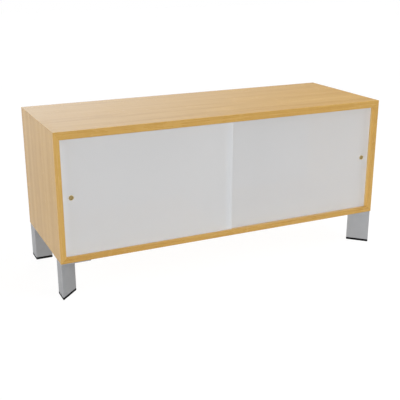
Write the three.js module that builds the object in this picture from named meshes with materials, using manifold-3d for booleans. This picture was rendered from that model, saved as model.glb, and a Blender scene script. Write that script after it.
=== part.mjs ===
// Low cabinet with two frosted sliding doors, standing on four three-sided metal legs.
// Millimetres, +Z up. The origin lies on the floor under the middle of the case.
// The doors face -Y. Pieces of the case are drawn from the middle of its underside.

import * as THREE from 'three';
import { mergeVertices } from 'three/addons/utils/BufferGeometryUtils.js';
import Module from 'manifold-3d';

const wasm = await Module();
wasm.setup();

// Case, outside, and the boards it is folded from
const caseWidth = 1200;
const caseDepth = 430;
const caseHeight = 425;
const topThickness = 25;
const sideThickness = 19;
const bottomThickness = 19;
const boardRounding = 1.5;
const bandThickness = 2;

// Gaps of glued, seated and running fits, and how far a cutter passes its face
const seatGap = 0.1;
const fitGap = 0.3;
const mitreGap = 0.3;
const runningGap = 0.3;
const cutOverrun = 2;

// Loose tongues glued across the four mitres
const tongueThickness = 4;
const tongueWidth = 14;
const tongueEndStop = 25;
const tongueShare = 0.6;

// Back panel, held in a groove that runs round the four boards
const backThickness = 8;
const backSetIn = 6;
const backGrooveDepth = 7;

// Double tracks let into the top and the bottom board
const trackSetback = 10;
const trackWall = 1.5;
const trackDivider = 1.6;
const trackWeb = 1.5;
const slotWidth = 4.6;
const slotLeadIn = 0.5;
const upperSlotDepth = 14;
const lowerSlotDepth = 6;

// Frosted doors, the upper edge lifted into the deeper slot to take them out
const doorThickness = 4;
const doorOverlap = 20;
const doorSideGap = 1;
const doorTopEngagement = 7;
const doorCornerRadius = 1.5;
const doorArris = 0.4;

// Round finger cups, pressed through a hole in each door
const pullFromDoorEdge = 28;
const pullHeight = 212;
const pullFlangeRadius = 8.6;
const pullFlangeThickness = 0.8;
const pullBodyRadius = 7.2;
const pullBackProud = 0.6;
const pullCupRadius = 6.4;
const pullRimBead = 0.3;
const pullCupDepth = 3.6;

// Partition in the middle of the case, behind the doors, on dowels
const partitionThickness = 19;
const partitionSetback = 2;
const partitionRounding = 1;
const dowelRadius = 4;
const dowelLength = 30;
const dowelInBoard = 12;
const dowelChamfer = 1;
const dowelPlaceShares = [0.12, 0.5, 0.88];

// Legs: plate, three-sided tube and plastic foot, set in from the case's corner
const legHeight = 125;
const legInset = 1.5;
const legSide = 60;
const legWall = 2;
const legRounding = 1.5;
const plateSize = 98;
const plateThickness = 3;
const plateCornerRadius = 3;
const footHeight = 8.5;
const footSoleBevel = 0.8;
const footPlugHeight = 16;
const footPlugWall = 2.5;
const footFinReach = 1.2;
const footFinThickness = 1;
const footFinPlaceShares = [0.2, 0.45, 0.7, 0.95];

// Pan head screws that hold the leg plates
const screwShankRadius = 2.25;
const screwInBoard = 13;
const screwTipLength = 4;
const screwHeadRadius = 4.6;
const screwHeadHeight = 3;
const screwHeadRim = 1;
const screwPlaceShares = [[0.88, 0.3], [0.88, 0.88], [0.36, 0.88], [0.56, 0.3]];

// Facets of round work
const smallRoundFacets = 12;
const pullFacets = 32;
const cornerFacets = 3;

// Sizes that follow
const halfWidth = caseWidth / 2;
const halfDepth = caseDepth / 2;
const innerHalfWidth = halfWidth - sideThickness;
const innerWidth = 2 * innerHalfWidth;
const innerTop = caseHeight - topThickness;
const innerHeight = innerTop - bottomThickness;
const backRear = halfDepth - backSetIn;
const backFront = backRear - backThickness;
const trackFront = -halfDepth + trackSetback;
const trackWidth = 2 * trackWall + 2 * slotWidth + trackDivider;
const trackMiddle = trackFront + trackWidth / 2;
const trackPitch = slotWidth + trackDivider;
const upperTrackHeight = upperSlotDepth + trackWeb;
const lowerTrackHeight = lowerSlotDepth + trackWeb;
const doorWidth = (innerWidth - 2 * doorSideGap + doorOverlap) / 2;
const doorBottom = bottomThickness - lowerSlotDepth + runningGap;
const doorHeight = innerTop + doorTopEngagement - doorBottom;
const bandRear = -halfDepth + bandThickness;
const partitionFront = trackFront + trackWidth + partitionSetback;
const partitionDepth = backFront - seatGap - partitionFront;

const sides = [['left', -1], ['right', 1]];
const ends = [['front', -1], ['back', 1]];

const wood = new THREE.MeshStandardMaterial({ color: 0xd6b78a, roughness: 0.45, metalness: 0 });
const bandWood = new THREE.MeshStandardMaterial({ color: 0xcfa968, roughness: 0.45, metalness: 0 });
const innerWood = new THREE.MeshStandardMaterial({ color: 0xd2b588, roughness: 0.55, metalness: 0 });
const rawWood = new THREE.MeshStandardMaterial({ color: 0xdcc59c, roughness: 0.8, metalness: 0 });
const trackPlastic = new THREE.MeshStandardMaterial({ color: 0xc8a56f, roughness: 0.5, metalness: 0 });
const frosted = new THREE.MeshStandardMaterial({
  color: 0xdcdcda, roughness: 0.55, metalness: 0, transparent: true, opacity: 0.85,
});
const brass = new THREE.MeshStandardMaterial({ color: 0xa58a52, roughness: 0.35, metalness: 0.9 });
const greyMetal = new THREE.MeshStandardMaterial({ color: 0xa9a9aa, roughness: 0.45, metalness: 0.4 });
const blackPlastic = new THREE.MeshStandardMaterial({ color: 0x151515, roughness: 0.6, metalness: 0 });
const zincSteel = new THREE.MeshStandardMaterial({ color: 0xb9bcc0, roughness: 0.35, metalness: 1 });

const axisX = new THREE.Vector3(1, 0, 0);
const axisY = new THREE.Vector3(0, 1, 0);
const axisZ = new THREE.Vector3(0, 0, 1);

// Each plane says where a drawing's right, up and thickness point
const drawnOnTop = new THREE.Matrix4().makeBasis(axisX, axisY, axisZ);
const drawnOnSide = new THREE.Matrix4().makeBasis(axisY, axisZ, axisX);
const drawnOnFront = new THREE.Matrix4().makeBasis(axisX, axisZ, axisY.clone().negate());

// Prism of an outline, with half its length on each side of the drawing
function prism(outline, plane, length, curveSegments = cornerFacets) {
  const geometry = new THREE.ExtrudeGeometry(outline, {
    depth: length, bevelEnabled: false, curveSegments,
  });
  geometry.translate(0, 0, -length / 2);
  return geometry.applyMatrix4(plane);
}

// Box between two corners
function boxBetween(low, high) {
  const size = high.clone().sub(low);
  const centre = low.clone().add(high).multiplyScalar(1 / 2);
  return new THREE.BoxGeometry(size.x, size.y, size.z).translate(centre.x, centre.y, centre.z);
}

// Outline through the corner points, each corner eased by the given radius
function easedOutline(points, radius, path = new THREE.Shape()) {
  points.forEach((corner, i) => {
    const before = points[(i + points.length - 1) % points.length];
    const after = points[(i + 1) % points.length];
    const toBefore = before.clone().sub(corner).normalize();
    const toAfter = after.clone().sub(corner).normalize();
    const halfAngle = Math.acos(toBefore.dot(toAfter)) / 2;
    const reach = radius / Math.tan(halfAngle);
    const start = corner.clone().addScaledVector(toBefore, reach);
    const end = corner.clone().addScaledVector(toAfter, reach);
    if (i === 0) path.moveTo(start.x, start.y);
    else path.lineTo(start.x, start.y);
    path.quadraticCurveTo(corner.x, corner.y, end.x, end.y);
  });
  path.closePath();
  return path;
}

// Corners of a rectangle between two values on each axis
function rectangle(x0, x1, y0, y1) {
  return [[x0, y0], [x1, y0], [x1, y1], [x0, y1]].map(([x, y]) => new THREE.Vector2(x, y));
}

// Closed solid of a geometry, with vertices shared
function solidOf(geometry) {
  const bare = geometry.clone();
  bare.deleteAttribute('normal');
  bare.deleteAttribute('uv');
  const merged = mergeVertices(bare);
  return new wasm.Manifold(new wasm.Mesh({
    numProp: 3,
    vertProperties: merged.attributes.position.array,
    triVerts: new Uint32Array(merged.index.array),
  }));
}

// Geometry of a solid
function geometryOf(solid) {
  const { vertProperties, triVerts } = solid.getMesh();
  const geometry = new THREE.BufferGeometry();
  geometry.setAttribute('position', new THREE.BufferAttribute(vertProperties, 3));
  geometry.setIndex(new THREE.BufferAttribute(triVerts, 1));
  geometry.computeVertexNormals();
  return geometry;
}

// What is left of a solid when cutters have passed through it
function cut(solid, cutters) {
  return cutters.reduce((rest, cutter) => rest.subtract(solidOf(cutter)), solid);
}

// The whole case and more, between a front and a rear plane
function frontToRear(front, rear) {
  return solidOf(boxBetween(
    new THREE.Vector3(-halfWidth - cutOverrun, front, -cutOverrun),
    new THREE.Vector3(halfWidth + cutOverrun, rear, caseHeight + cutOverrun),
  ));
}

// A board without its front edge, and the band glued on there, parted at a plane
function bandedBoard(solid, front, parting) {
  return {
    band: solid.intersect(frontToRear(front - cutOverrun, parting)),
    board: solid.intersect(frontToRear(parting + seatGap, halfDepth + cutOverrun)),
  };
}

// Named mesh in a group
function place(group, name, geometry, material, position = new THREE.Vector3()) {
  const mesh = new THREE.Mesh(geometry, material);
  mesh.name = name;
  mesh.position.copy(position);
  group.add(mesh);
  return mesh;
}

// The case's outline seen from the front, its outer corners eased
function caseEnvelope() {
  const outline = easedOutline(rectangle(-halfWidth, halfWidth, 0, caseHeight), boardRounding);
  return solidOf(prism(outline, drawnOnFront, caseDepth + 2 * cutOverrun));
}

// One mitre: its outer end, its inner end, and the tongue that crosses it
function mitreAt(sideSign, level) {
  const thickness = level === 'top' ? topThickness : bottomThickness;
  const outerZ = level === 'top' ? caseHeight : 0;
  const innerZ = level === 'top' ? innerTop : bottomThickness;
  const outer = new THREE.Vector2(sideSign * halfWidth, outerZ);
  const inner = new THREE.Vector2(sideSign * innerHalfWidth, innerZ);
  const centre = outer.clone().lerp(inner, tongueShare);
  const along = inner.clone().sub(outer);
  const tilt = Math.atan2(along.x, -along.y);
  return { thickness, centre, tilt };
}

// Tongue, or the slot for it when a gap is given, lying across one mitre
function tongue(sideSign, level, gap) {
  const { centre, tilt } = mitreAt(sideSign, level);
  const length = caseDepth - 2 * tongueEndStop + 2 * gap;
  const bar = new THREE.BoxGeometry(tongueWidth + 2 * gap, length, tongueThickness + 2 * gap);
  return bar.rotateY(-tilt).translate(centre.x, 0, centre.y);
}

// Top or bottom board between its two mitres, before its grooves are cut
function mitredLevelBoard(level) {
  const { thickness } = mitreAt(-1, level);
  const outerZ = level === 'top' ? caseHeight : 0;
  const inwards = level === 'top' ? -1 : 1;
  const faceLow = Math.min(outerZ, outerZ + inwards * thickness);
  const section = easedOutline(
    rectangle(-halfDepth, halfDepth, faceLow, faceLow + thickness), boardRounding);
  const board = solidOf(prism(section, drawnOnSide, caseWidth));
  const slope = sideThickness / thickness;
  const outerReach = halfWidth - mitreGap + cutOverrun * slope;
  const innerReach = innerHalfWidth - mitreGap - cutOverrun * slope;
  const outerLevel = outerZ - inwards * cutOverrun;
  const innerLevel = outerZ + inwards * (thickness + cutOverrun);
  const mitred = new THREE.Shape([
    new THREE.Vector2(-outerReach, outerLevel),
    new THREE.Vector2(outerReach, outerLevel),
    new THREE.Vector2(innerReach, innerLevel),
    new THREE.Vector2(-innerReach, innerLevel),
  ]);
  const wedge = solidOf(prism(mitred, drawnOnFront, caseDepth + 2 * cutOverrun));
  return board.intersect(wedge).intersect(caseEnvelope());
}

// Side board between its upper and lower mitre, before its grooves are cut
function mitredSideBoard(sideSign) {
  const outer = sideSign * halfWidth;
  const inner = sideSign * innerHalfWidth;
  const section = easedOutline(
    rectangle(Math.min(outer, inner), Math.max(outer, inner), -halfDepth, halfDepth), boardRounding);
  const board = solidOf(prism(section, drawnOnTop, caseHeight).translate(0, 0, caseHeight / 2));
  const upperSlope = topThickness / sideThickness;
  const lowerSlope = bottomThickness / sideThickness;
  const outerX = outer + sideSign * cutOverrun;
  const innerX = inner - sideSign * cutOverrun;
  const mitred = new THREE.Shape([
    new THREE.Vector2(outerX, -cutOverrun * lowerSlope),
    new THREE.Vector2(outerX, caseHeight + cutOverrun * upperSlope),
    new THREE.Vector2(innerX, innerTop - cutOverrun * upperSlope),
    new THREE.Vector2(innerX, bottomThickness + cutOverrun * lowerSlope),
  ]);
  const wedge = solidOf(prism(mitred, drawnOnFront, caseDepth + 2 * cutOverrun));
  return board.intersect(wedge).intersect(caseEnvelope());
}

// Room for the back panel, cut from all four boards at once
function backRoom() {
  const reachX = innerHalfWidth + backGrooveDepth;
  return boxBetween(
    new THREE.Vector3(-reachX, backFront - fitGap, bottomThickness - backGrooveDepth),
    new THREE.Vector3(reachX, backRear + fitGap, innerTop + backGrooveDepth),
  );
}

// Housing that a track is let into
function trackHousing(level) {
  const low = level === 'top' ? innerTop - cutOverrun : bottomThickness - lowerTrackHeight - seatGap;
  const high = level === 'top' ? innerTop + upperTrackHeight + seatGap : bottomThickness + cutOverrun;
  return boxBetween(
    new THREE.Vector3(-innerHalfWidth, trackFront - fitGap, low),
    new THREE.Vector3(innerHalfWidth, trackFront + trackWidth + fitGap, high),
  );
}

// Radius of a faceted hole whose flats stand clear of a round pin
function holeRadius(pinRadius, facets) {
  return (pinRadius + fitGap) / Math.cos(Math.PI / facets);
}

// Upright drill for a pin, between two heights
function uprightDrill(pinRadius, x, y, low, high) {
  const radius = holeRadius(pinRadius, smallRoundFacets);
  const geometry = new THREE.CylinderGeometry(radius, radius, high - low, smallRoundFacets);
  return geometry.rotateX(Math.PI / 2).translate(x, y, (low + high) / 2);
}

// Places of the partition's dowels from front to back
function dowelPlaces() {
  return dowelPlaceShares.map((share) => partitionFront + share * partitionDepth);
}

// Holes for the dowels, in the board and the partition alike
function dowelHoles(level) {
  const face = level === 'top' ? innerTop : bottomThickness;
  const inwards = level === 'top' ? -1 : 1;
  const blind = face - inwards * (dowelInBoard + fitGap);
  const open = face + inwards * (dowelLength - dowelInBoard + fitGap);
  return dowelPlaces().map((y) => uprightDrill(
    dowelRadius, 0, y, Math.min(blind, open), Math.max(blind, open)));
}

// Corner of a leg's group in the plan of the case
function legOrigin(sideSign, endSign) {
  return new THREE.Vector2(sideSign * (halfWidth - legInset), endSign * (halfDepth - legInset));
}

// Point of a leg's plan, measured inwards from its corner of the case
function legPoint(sideSign, endSign, inX, inY) {
  return new THREE.Vector2(-sideSign * inX, -endSign * inY);
}

// Screws' places in a leg's plan
function screwPlaces(sideSign, endSign) {
  return screwPlaceShares.map(([shareX, shareY]) => legPoint(
    sideSign, endSign, shareX * plateSize, shareY * plateSize));
}

// Pilot holes in the bottom board for every leg's screws
function pilotHoles() {
  return sides.flatMap(([, sideSign]) => ends.flatMap(([, endSign]) => {
    const origin = legOrigin(sideSign, endSign);
    return screwPlaces(sideSign, endSign).map((spot) => uprightDrill(
      screwShankRadius, origin.x + spot.x, origin.y + spot.y, -cutOverrun, screwInBoard + fitGap));
  }));
}

// One board of the case with its band and every cut that its neighbours need
function addBoard(group, name, bandName, solid, cutters) {
  const { band, board } = bandedBoard(solid, -halfDepth, bandRear);
  place(group, name, geometryOf(cut(board, cutters)), wood);
  place(group, bandName, geometryOf(band), bandWood);
}

// The four boards, and the tongues across their mitres
function addBoards(group) {
  const slots = (sideSign, level) => tongue(sideSign, level, fitGap);
  const levelCuts = { top: [], bottom: pilotHoles() };
  Object.entries(levelCuts).forEach(([level, moreCuts]) => {
    addBoard(group, `${level}_panel`, `${level}_edge_band`, mitredLevelBoard(level), [
      backRoom(), trackHousing(level), ...dowelHoles(level), slots(-1, level), slots(1, level),
      ...moreCuts,
    ]);
  });
  sides.forEach(([side, sign]) => {
    addBoard(group, `${side}_side_panel`, `${side}_edge_band`, mitredSideBoard(sign), [
      backRoom(), slots(sign, 'top'), slots(sign, 'bottom'),
    ]);
    Object.keys(levelCuts).forEach((level) => {
      place(group, `${level}_${side}_corner_tongue`, tongue(sign, level, 0), rawWood);
    });
  });
}

// Back panel, reaching into the groove on all four sides
function addBackPanel(group) {
  const reach = backGrooveDepth - fitGap;
  const panel = new THREE.BoxGeometry(innerWidth + 2 * reach, backThickness, innerHeight + 2 * reach);
  const middle = new THREE.Vector3(0, (backFront + backRear) / 2, bottomThickness + innerHeight / 2);
  place(group, 'back_panel', panel, innerWood, middle);
}

// Partition with its dowels
function addPartition(group) {
  const height = innerHeight - 2 * seatGap;
  const section = easedOutline(
    rectangle(-partitionThickness / 2, partitionThickness / 2, partitionFront,
      partitionFront + partitionDepth), partitionRounding);
  const middleZ = bottomThickness + innerHeight / 2;
  const whole = solidOf(prism(section, drawnOnTop, height).translate(0, 0, middleZ));
  const { band, board } = bandedBoard(whole, partitionFront, partitionFront + bandThickness);
  const drilled = cut(board, [...dowelHoles('top'), ...dowelHoles('bottom')]);
  place(group, 'centre_partition', geometryOf(drilled), innerWood);
  place(group, 'partition_edge_band', geometryOf(band), bandWood);

  const profile = [
    [0, 0], [dowelRadius - dowelChamfer, 0], [dowelRadius, dowelChamfer],
    [dowelRadius, dowelLength - dowelChamfer], [dowelRadius - dowelChamfer, dowelLength],
    [0, dowelLength],
  ].map(([r, z]) => new THREE.Vector2(r, z));
  const starts = { top: innerTop + dowelInBoard - dowelLength, bottom: bottomThickness - dowelInBoard };
  Object.entries(starts).forEach(([level, start]) => {
    dowelPlaces().forEach((y, i) => {
      const dowel = new THREE.LatheGeometry(profile, smallRoundFacets).rotateX(Math.PI / 2);
      place(group, `partition_${level}_dowel_${i + 1}`, dowel, rawWood, new THREE.Vector3(0, y, start));
    });
  });
}

// Section of a double track, its slots open upwards from the web
function trackSection(slotDepth) {
  const height = slotDepth + trackWeb;
  const points = [[0, 0], [trackWidth, 0], [trackWidth, height]];
  [1, 0].forEach((slot) => {
    const left = trackWall + slot * trackPitch;
    const right = left + slotWidth;
    const mouth = height - slotLeadIn;
    points.push([right + slotLeadIn, height], [right, mouth], [right, trackWeb]);
    points.push([left, trackWeb], [left, mouth], [left - slotLeadIn, height]);
  });
  points.push([0, height]);
  return points.map(([y, z]) => new THREE.Vector2(y - trackWidth / 2, z));
}

// Tracks let in flush with the inner faces of the top and the bottom board
function addTracks(group) {
  const length = innerWidth - 2 * fitGap;
  const lower = prism(new THREE.Shape(trackSection(lowerSlotDepth)), drawnOnSide, length);
  const lowerPlace = new THREE.Vector3(0, trackMiddle, bottomThickness - lowerTrackHeight);
  place(group, 'lower_track', lower, trackPlastic, lowerPlace);
  const upper = prism(new THREE.Shape(trackSection(upperSlotDepth)), drawnOnSide, length);
  const upperPlace = new THREE.Vector3(0, trackMiddle, innerTop + upperTrackHeight);
  place(group, 'upper_track', upper, trackPlastic, upperPlace).rotation.x = Math.PI;
}

// One frosted panel, drilled for its pull, drawn from the middle of its lower edge
function doorGeometry(pullX, pullZ) {
  const outline = easedOutline(
    rectangle(-doorWidth / 2, doorWidth / 2, 0, doorHeight), doorCornerRadius);
  const hole = new THREE.Path();
  hole.absarc(pullX, pullZ, holeRadius(pullBodyRadius, pullFacets), 0, 2 * Math.PI);
  outline.holes.push(hole);
  const depth = doorThickness - 2 * doorArris;
  const geometry = new THREE.ExtrudeGeometry(outline, {
    depth, curveSegments: pullFacets / 2, bevelEnabled: true, bevelSegments: 1,
    bevelThickness: doorArris, bevelSize: doorArris, bevelOffset: -doorArris,
  });
  geometry.translate(0, 0, -depth / 2);
  return geometry.applyMatrix4(drawnOnFront);
}

// Finger cup turned from one piece: flange, dished bowl and a body that fills the hole
function pullGeometry() {
  const back = -doorThickness - pullBackProud;
  const front = seatGap + pullFlangeThickness;
  const profile = new THREE.Path();
  profile.moveTo(0, back);
  profile.lineTo(pullBodyRadius - pullRimBead, back);
  profile.lineTo(pullBodyRadius, back + pullRimBead);
  profile.lineTo(pullBodyRadius, seatGap);
  profile.lineTo(pullFlangeRadius, seatGap);
  profile.quadraticCurveTo(pullFlangeRadius, front, pullFlangeRadius - pullFlangeThickness, front);
  profile.lineTo(pullCupRadius + pullRimBead, front);
  profile.quadraticCurveTo(pullCupRadius, front, pullCupRadius, front - pullRimBead);
  profile.bezierCurveTo(
    pullCupRadius, front - pullCupDepth, pullCupRadius / 2, front - pullCupDepth,
    0, front - pullCupDepth);
  return new THREE.LatheGeometry(profile.getPoints(2 * cornerFacets), pullFacets).rotateX(Math.PI);
}

// Doors in their slots: the left one in front, the right one behind it
function addDoors(group) {
  sides.forEach(([side, sign]) => {
    const door = new THREE.Group();
    const middleX = sign * (innerHalfWidth - doorSideGap - doorWidth / 2);
    door.position.set(middleX, trackMiddle + sign * trackPitch / 2, doorBottom);
    const pullX = sign * (doorWidth / 2 - pullFromDoorEdge);
    const pullZ = pullHeight - doorBottom;
    place(door, `${side}_door`, doorGeometry(pullX, pullZ), frosted);
    const face = new THREE.Vector3(pullX, -doorThickness / 2, pullZ);
    place(door, `${side}_door_pull`, pullGeometry(), brass, face);
    group.add(door);
  });
}

// Corners of the leg's right-angled triangle, drawn in by a wall, always counter-clockwise
function legCorners(sideSign, endSign, wall) {
  const slant = wall * (1 + Math.SQRT2);
  const near = wall;
  const far = legSide - wall;
  const corners = [[near, slant], [near, far], [legSide - slant, far]]
    .map(([inX, inY]) => legPoint(sideSign, endSign, inX, inY));
  return sideSign === endSign ? corners.reverse() : corners;
}

// Square steel plate with its screw holes
function legPlate(sideSign, endSign) {
  const square = [[0, 0], [plateSize, 0], [plateSize, plateSize], [0, plateSize]]
    .map(([inX, inY]) => legPoint(sideSign, endSign, inX, inY));
  const outline = easedOutline(square, plateCornerRadius);
  screwPlaces(sideSign, endSign).forEach((spot) => {
    const hole = new THREE.Path();
    hole.absarc(spot.x, spot.y, holeRadius(screwShankRadius, smallRoundFacets), 0, 2 * Math.PI);
    outline.holes.push(hole);
  });
  return prism(outline, drawnOnTop, plateThickness, smallRoundFacets / 2);
}

// Three-sided tube, open at both ends
function legPost(sideSign, endSign, length) {
  const outline = easedOutline(legCorners(sideSign, endSign, 0), legRounding);
  outline.holes.push(easedOutline(
    legCorners(sideSign, endSign, legWall), legRounding / 2, new THREE.Path()));
  return prism(outline, drawnOnTop, length);
}

// Prism in a leg's plan, drawn in from the tube's outside, between two heights
function legPrism(sideSign, endSign, drawnIn, low, high) {
  const outline = easedOutline(legCorners(sideSign, endSign, drawnIn), legRounding / 2);
  return prism(outline, drawnOnTop, high - low).translate(0, 0, (low + high) / 2);
}

// Plastic foot: a sole as wide as the tube, and a hollow plug with fins that grip the tube
function legFoot(sideSign, endSign) {
  const sole = new THREE.ExtrudeGeometry(
    easedOutline(legCorners(sideSign, endSign, 0), legRounding), {
      depth: footHeight - 2 * footSoleBevel, curveSegments: cornerFacets, bevelEnabled: true,
      bevelSegments: 1, bevelThickness: footSoleBevel, bevelSize: footSoleBevel,
      bevelOffset: -footSoleBevel,
    }).translate(0, 0, footSoleBevel);
  const finEdge = legWall + fitGap;
  const plugFace = finEdge + footFinReach;
  const plugTop = footHeight + footPlugHeight;
  const plug = legPrism(sideSign, endSign, plugFace, footHeight / 2, plugTop);
  const hollow = legPrism(
    sideSign, endSign, plugFace + footPlugWall, footHeight, plugTop + cutOverrun);
  const fins = footFinPlaceShares.map((share) => {
    const finTop = footHeight + share * footPlugHeight;
    return legPrism(sideSign, endSign, finEdge, finTop - footFinThickness, finTop);
  });
  const whole = [plug, ...fins].reduce((solid, part) => solid.add(solidOf(part)), solidOf(sole));
  return geometryOf(whole.subtract(solidOf(hollow)));
}

// Pan head screw, its shank pointing up from under the plate
function screwGeometry() {
  const profile = new THREE.Path();
  const shankLength = plateThickness + 2 * seatGap + screwInBoard;
  profile.moveTo(0, -screwHeadHeight);
  profile.quadraticCurveTo(screwHeadRadius, -screwHeadHeight, screwHeadRadius, -screwHeadRim);
  profile.lineTo(screwHeadRadius, 0);
  profile.lineTo(screwShankRadius, 0);
  profile.lineTo(screwShankRadius, shankLength - screwTipLength);
  profile.lineTo(0, shankLength);
  return new THREE.LatheGeometry(profile.getPoints(cornerFacets), smallRoundFacets).rotateX(Math.PI / 2);
}

// One leg with its plate, post, foot and screws, in a group at its corner
function legGroup(side, sideSign, end, endSign) {
  const leg = new THREE.Group();
  const name = `${end}_${side}`;
  const origin = legOrigin(sideSign, endSign);
  leg.position.set(origin.x, origin.y, 0);
  const plateTop = legHeight - seatGap;
  const plateUnder = plateTop - plateThickness;
  const postLow = footHeight + seatGap;
  const postHigh = plateUnder - seatGap;
  const plateMiddle = new THREE.Vector3(0, 0, (plateTop + plateUnder) / 2);
  place(leg, `${name}_leg_plate`, legPlate(sideSign, endSign), greyMetal, plateMiddle);
  const post = legPost(sideSign, endSign, postHigh - postLow);
  place(leg, `${name}_leg_post`, post, greyMetal, new THREE.Vector3(0, 0, (postLow + postHigh) / 2));
  place(leg, `${name}_foot`, legFoot(sideSign, endSign), blackPlastic);
  screwPlaces(sideSign, endSign).forEach((spot, i) => {
    const seat = new THREE.Vector3(spot.x, spot.y, plateUnder - seatGap);
    place(leg, `${name}_leg_screw_${i + 1}`, screwGeometry(), zincSteel, seat);
  });
  return leg;
}

function cabinet() {
  const whole = new THREE.Group();
  const body = new THREE.Group();
  body.position.z = legHeight;
  addBoards(body);
  addBackPanel(body);
  addPartition(body);
  addTracks(body);
  addDoors(body);
  whole.add(body);
  sides.forEach(([side, sideSign]) => ends.forEach(([end, endSign]) => {
    whole.add(legGroup(side, sideSign, end, endSign));
  }));
  return whole;
}

export default cabinet();
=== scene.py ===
"""Looks of a low cabinet with two frosted sliding doors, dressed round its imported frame.

Lengths are in metres, in the frame's axes: +X to the right, +Y to the back, +Z up.
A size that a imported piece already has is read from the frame. Finer work has named sizes here.
"""

import logging
import math
from collections.abc import Iterator, Sequence
from dataclasses import dataclass, field, replace
from enum import Enum
from functools import cache
from typing import NamedTuple

import bmesh
import bpy
from mathutils import Matrix, Vector


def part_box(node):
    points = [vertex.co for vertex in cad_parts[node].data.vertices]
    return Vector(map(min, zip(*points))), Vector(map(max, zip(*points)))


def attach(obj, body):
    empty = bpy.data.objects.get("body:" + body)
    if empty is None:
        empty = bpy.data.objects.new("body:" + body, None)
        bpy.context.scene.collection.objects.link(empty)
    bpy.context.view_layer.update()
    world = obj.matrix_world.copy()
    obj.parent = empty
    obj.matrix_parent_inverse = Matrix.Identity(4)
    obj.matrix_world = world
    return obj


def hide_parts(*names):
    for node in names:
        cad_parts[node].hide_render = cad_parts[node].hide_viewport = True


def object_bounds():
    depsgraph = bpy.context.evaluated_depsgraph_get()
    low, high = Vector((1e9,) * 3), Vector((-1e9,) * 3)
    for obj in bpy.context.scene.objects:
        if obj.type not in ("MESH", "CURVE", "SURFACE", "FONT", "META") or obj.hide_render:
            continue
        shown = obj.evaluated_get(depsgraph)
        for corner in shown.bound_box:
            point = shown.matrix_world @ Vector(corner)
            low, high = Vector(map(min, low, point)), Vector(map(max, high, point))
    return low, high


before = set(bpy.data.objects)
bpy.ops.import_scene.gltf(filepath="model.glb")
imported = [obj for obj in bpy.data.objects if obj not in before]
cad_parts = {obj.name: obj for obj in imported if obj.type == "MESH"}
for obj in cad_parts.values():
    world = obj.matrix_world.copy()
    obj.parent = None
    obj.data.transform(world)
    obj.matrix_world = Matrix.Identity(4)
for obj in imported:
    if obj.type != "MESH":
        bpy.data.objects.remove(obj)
cad_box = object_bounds()

log = logging.getLogger("cabinet")

MM = 0.001
CASE_BODY = "case"
MERGE_REACH = 0.002 * MM
ROUNDING_STEPS = 5

Triple = tuple[float, float, float]
Colour = Triple
Socket = bpy.types.NodeSocket
Outputs = bpy.types.bpy_prop_collection
Tree = bpy.types.NodeTree
Material = bpy.types.Material
Piece = bpy.types.Object
Feed = float | Sequence[float] | Socket
Shape = bmesh.types.BMesh
Vert = bmesh.types.BMVert
Edges = list[bmesh.types.BMEdge]


class Way(Enum):
    """One of two opposite ways from the cabinet's middle, by its sign along an axis."""

    @property
    def word(self) -> str:
        """The way, as the pieces' names spell it."""
        return self.name.lower()

    def further(self, low: float, high: float) -> float:
        """Picks the one of two places that lies further this way."""
        return low if self.value < 0 else high


class Side(Way):
    """The two ends of the cabinet, by the sign of X."""

    LEFT = -1
    RIGHT = 1


class End(Way):
    """The front and the back of the cabinet, by the sign of Y."""

    FRONT = -1
    BACK = 1


class Grain(Enum):
    """Which way a piece's fibres run, as the turn that lays them along X."""

    ALONG_X = (0.0, 0.0, 0.0)
    ALONG_Y = (0.0, 0.0, -math.pi / 2)
    ALONG_Z = (0.0, math.pi / 2, 0.0)


class Kind(Enum):
    """What a socket of a shared effect carries, by the type that sockets state."""

    VALUE = "NodeSocketFloat"
    VECTOR = "NodeSocketVector"
    RGBA = "NodeSocketColor"


def shade(*levels: int) -> Colour:
    """Turns the red, green and blue that a screen shows, up to 255 each, into light values."""
    shares = [level / 255 for level in levels]
    return tuple(share / 12.92 if share <= 0.04045 else ((share + 0.055) / 1.055) ** 2.4
                 for share in shares)


def opaque(colour: Colour | Socket) -> Feed:
    """Adds full opacity to a colour, and leaves another node's output as it is."""
    return colour if isinstance(colour, Socket) else (*colour, 1.0)


@dataclass(frozen=True)
class Box:
    """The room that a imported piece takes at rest."""

    low: Vector
    high: Vector

    @classmethod
    def of(cls, node: str) -> "Box":
        """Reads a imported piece's room from the frame."""
        low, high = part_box(node)
        return cls(Vector(low), Vector(high))

    @property
    def middle(self) -> Vector:
        """The middle of the room."""
        return (self.low + self.high) / 2

    @property
    def reach(self) -> Vector:
        """Half the room's size along each axis."""
        return (self.high - self.low) / 2


@dataclass(frozen=True)
class Noise:
    """A pattern of soft spots, and the limits between which it is spread into marks."""

    size: float | Triple
    detail: float = 2.0
    seed: float = 0.0
    warp: float = 0.0
    low: float = 0.3
    high: float = 0.7

    @property
    def steps(self) -> Triple:
        """How many spots a metre holds along X, Y and Z."""
        sizes = (self.size,) * 3 if isinstance(self.size, float) else self.size
        return tuple(1 / size for size in sizes)


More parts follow.
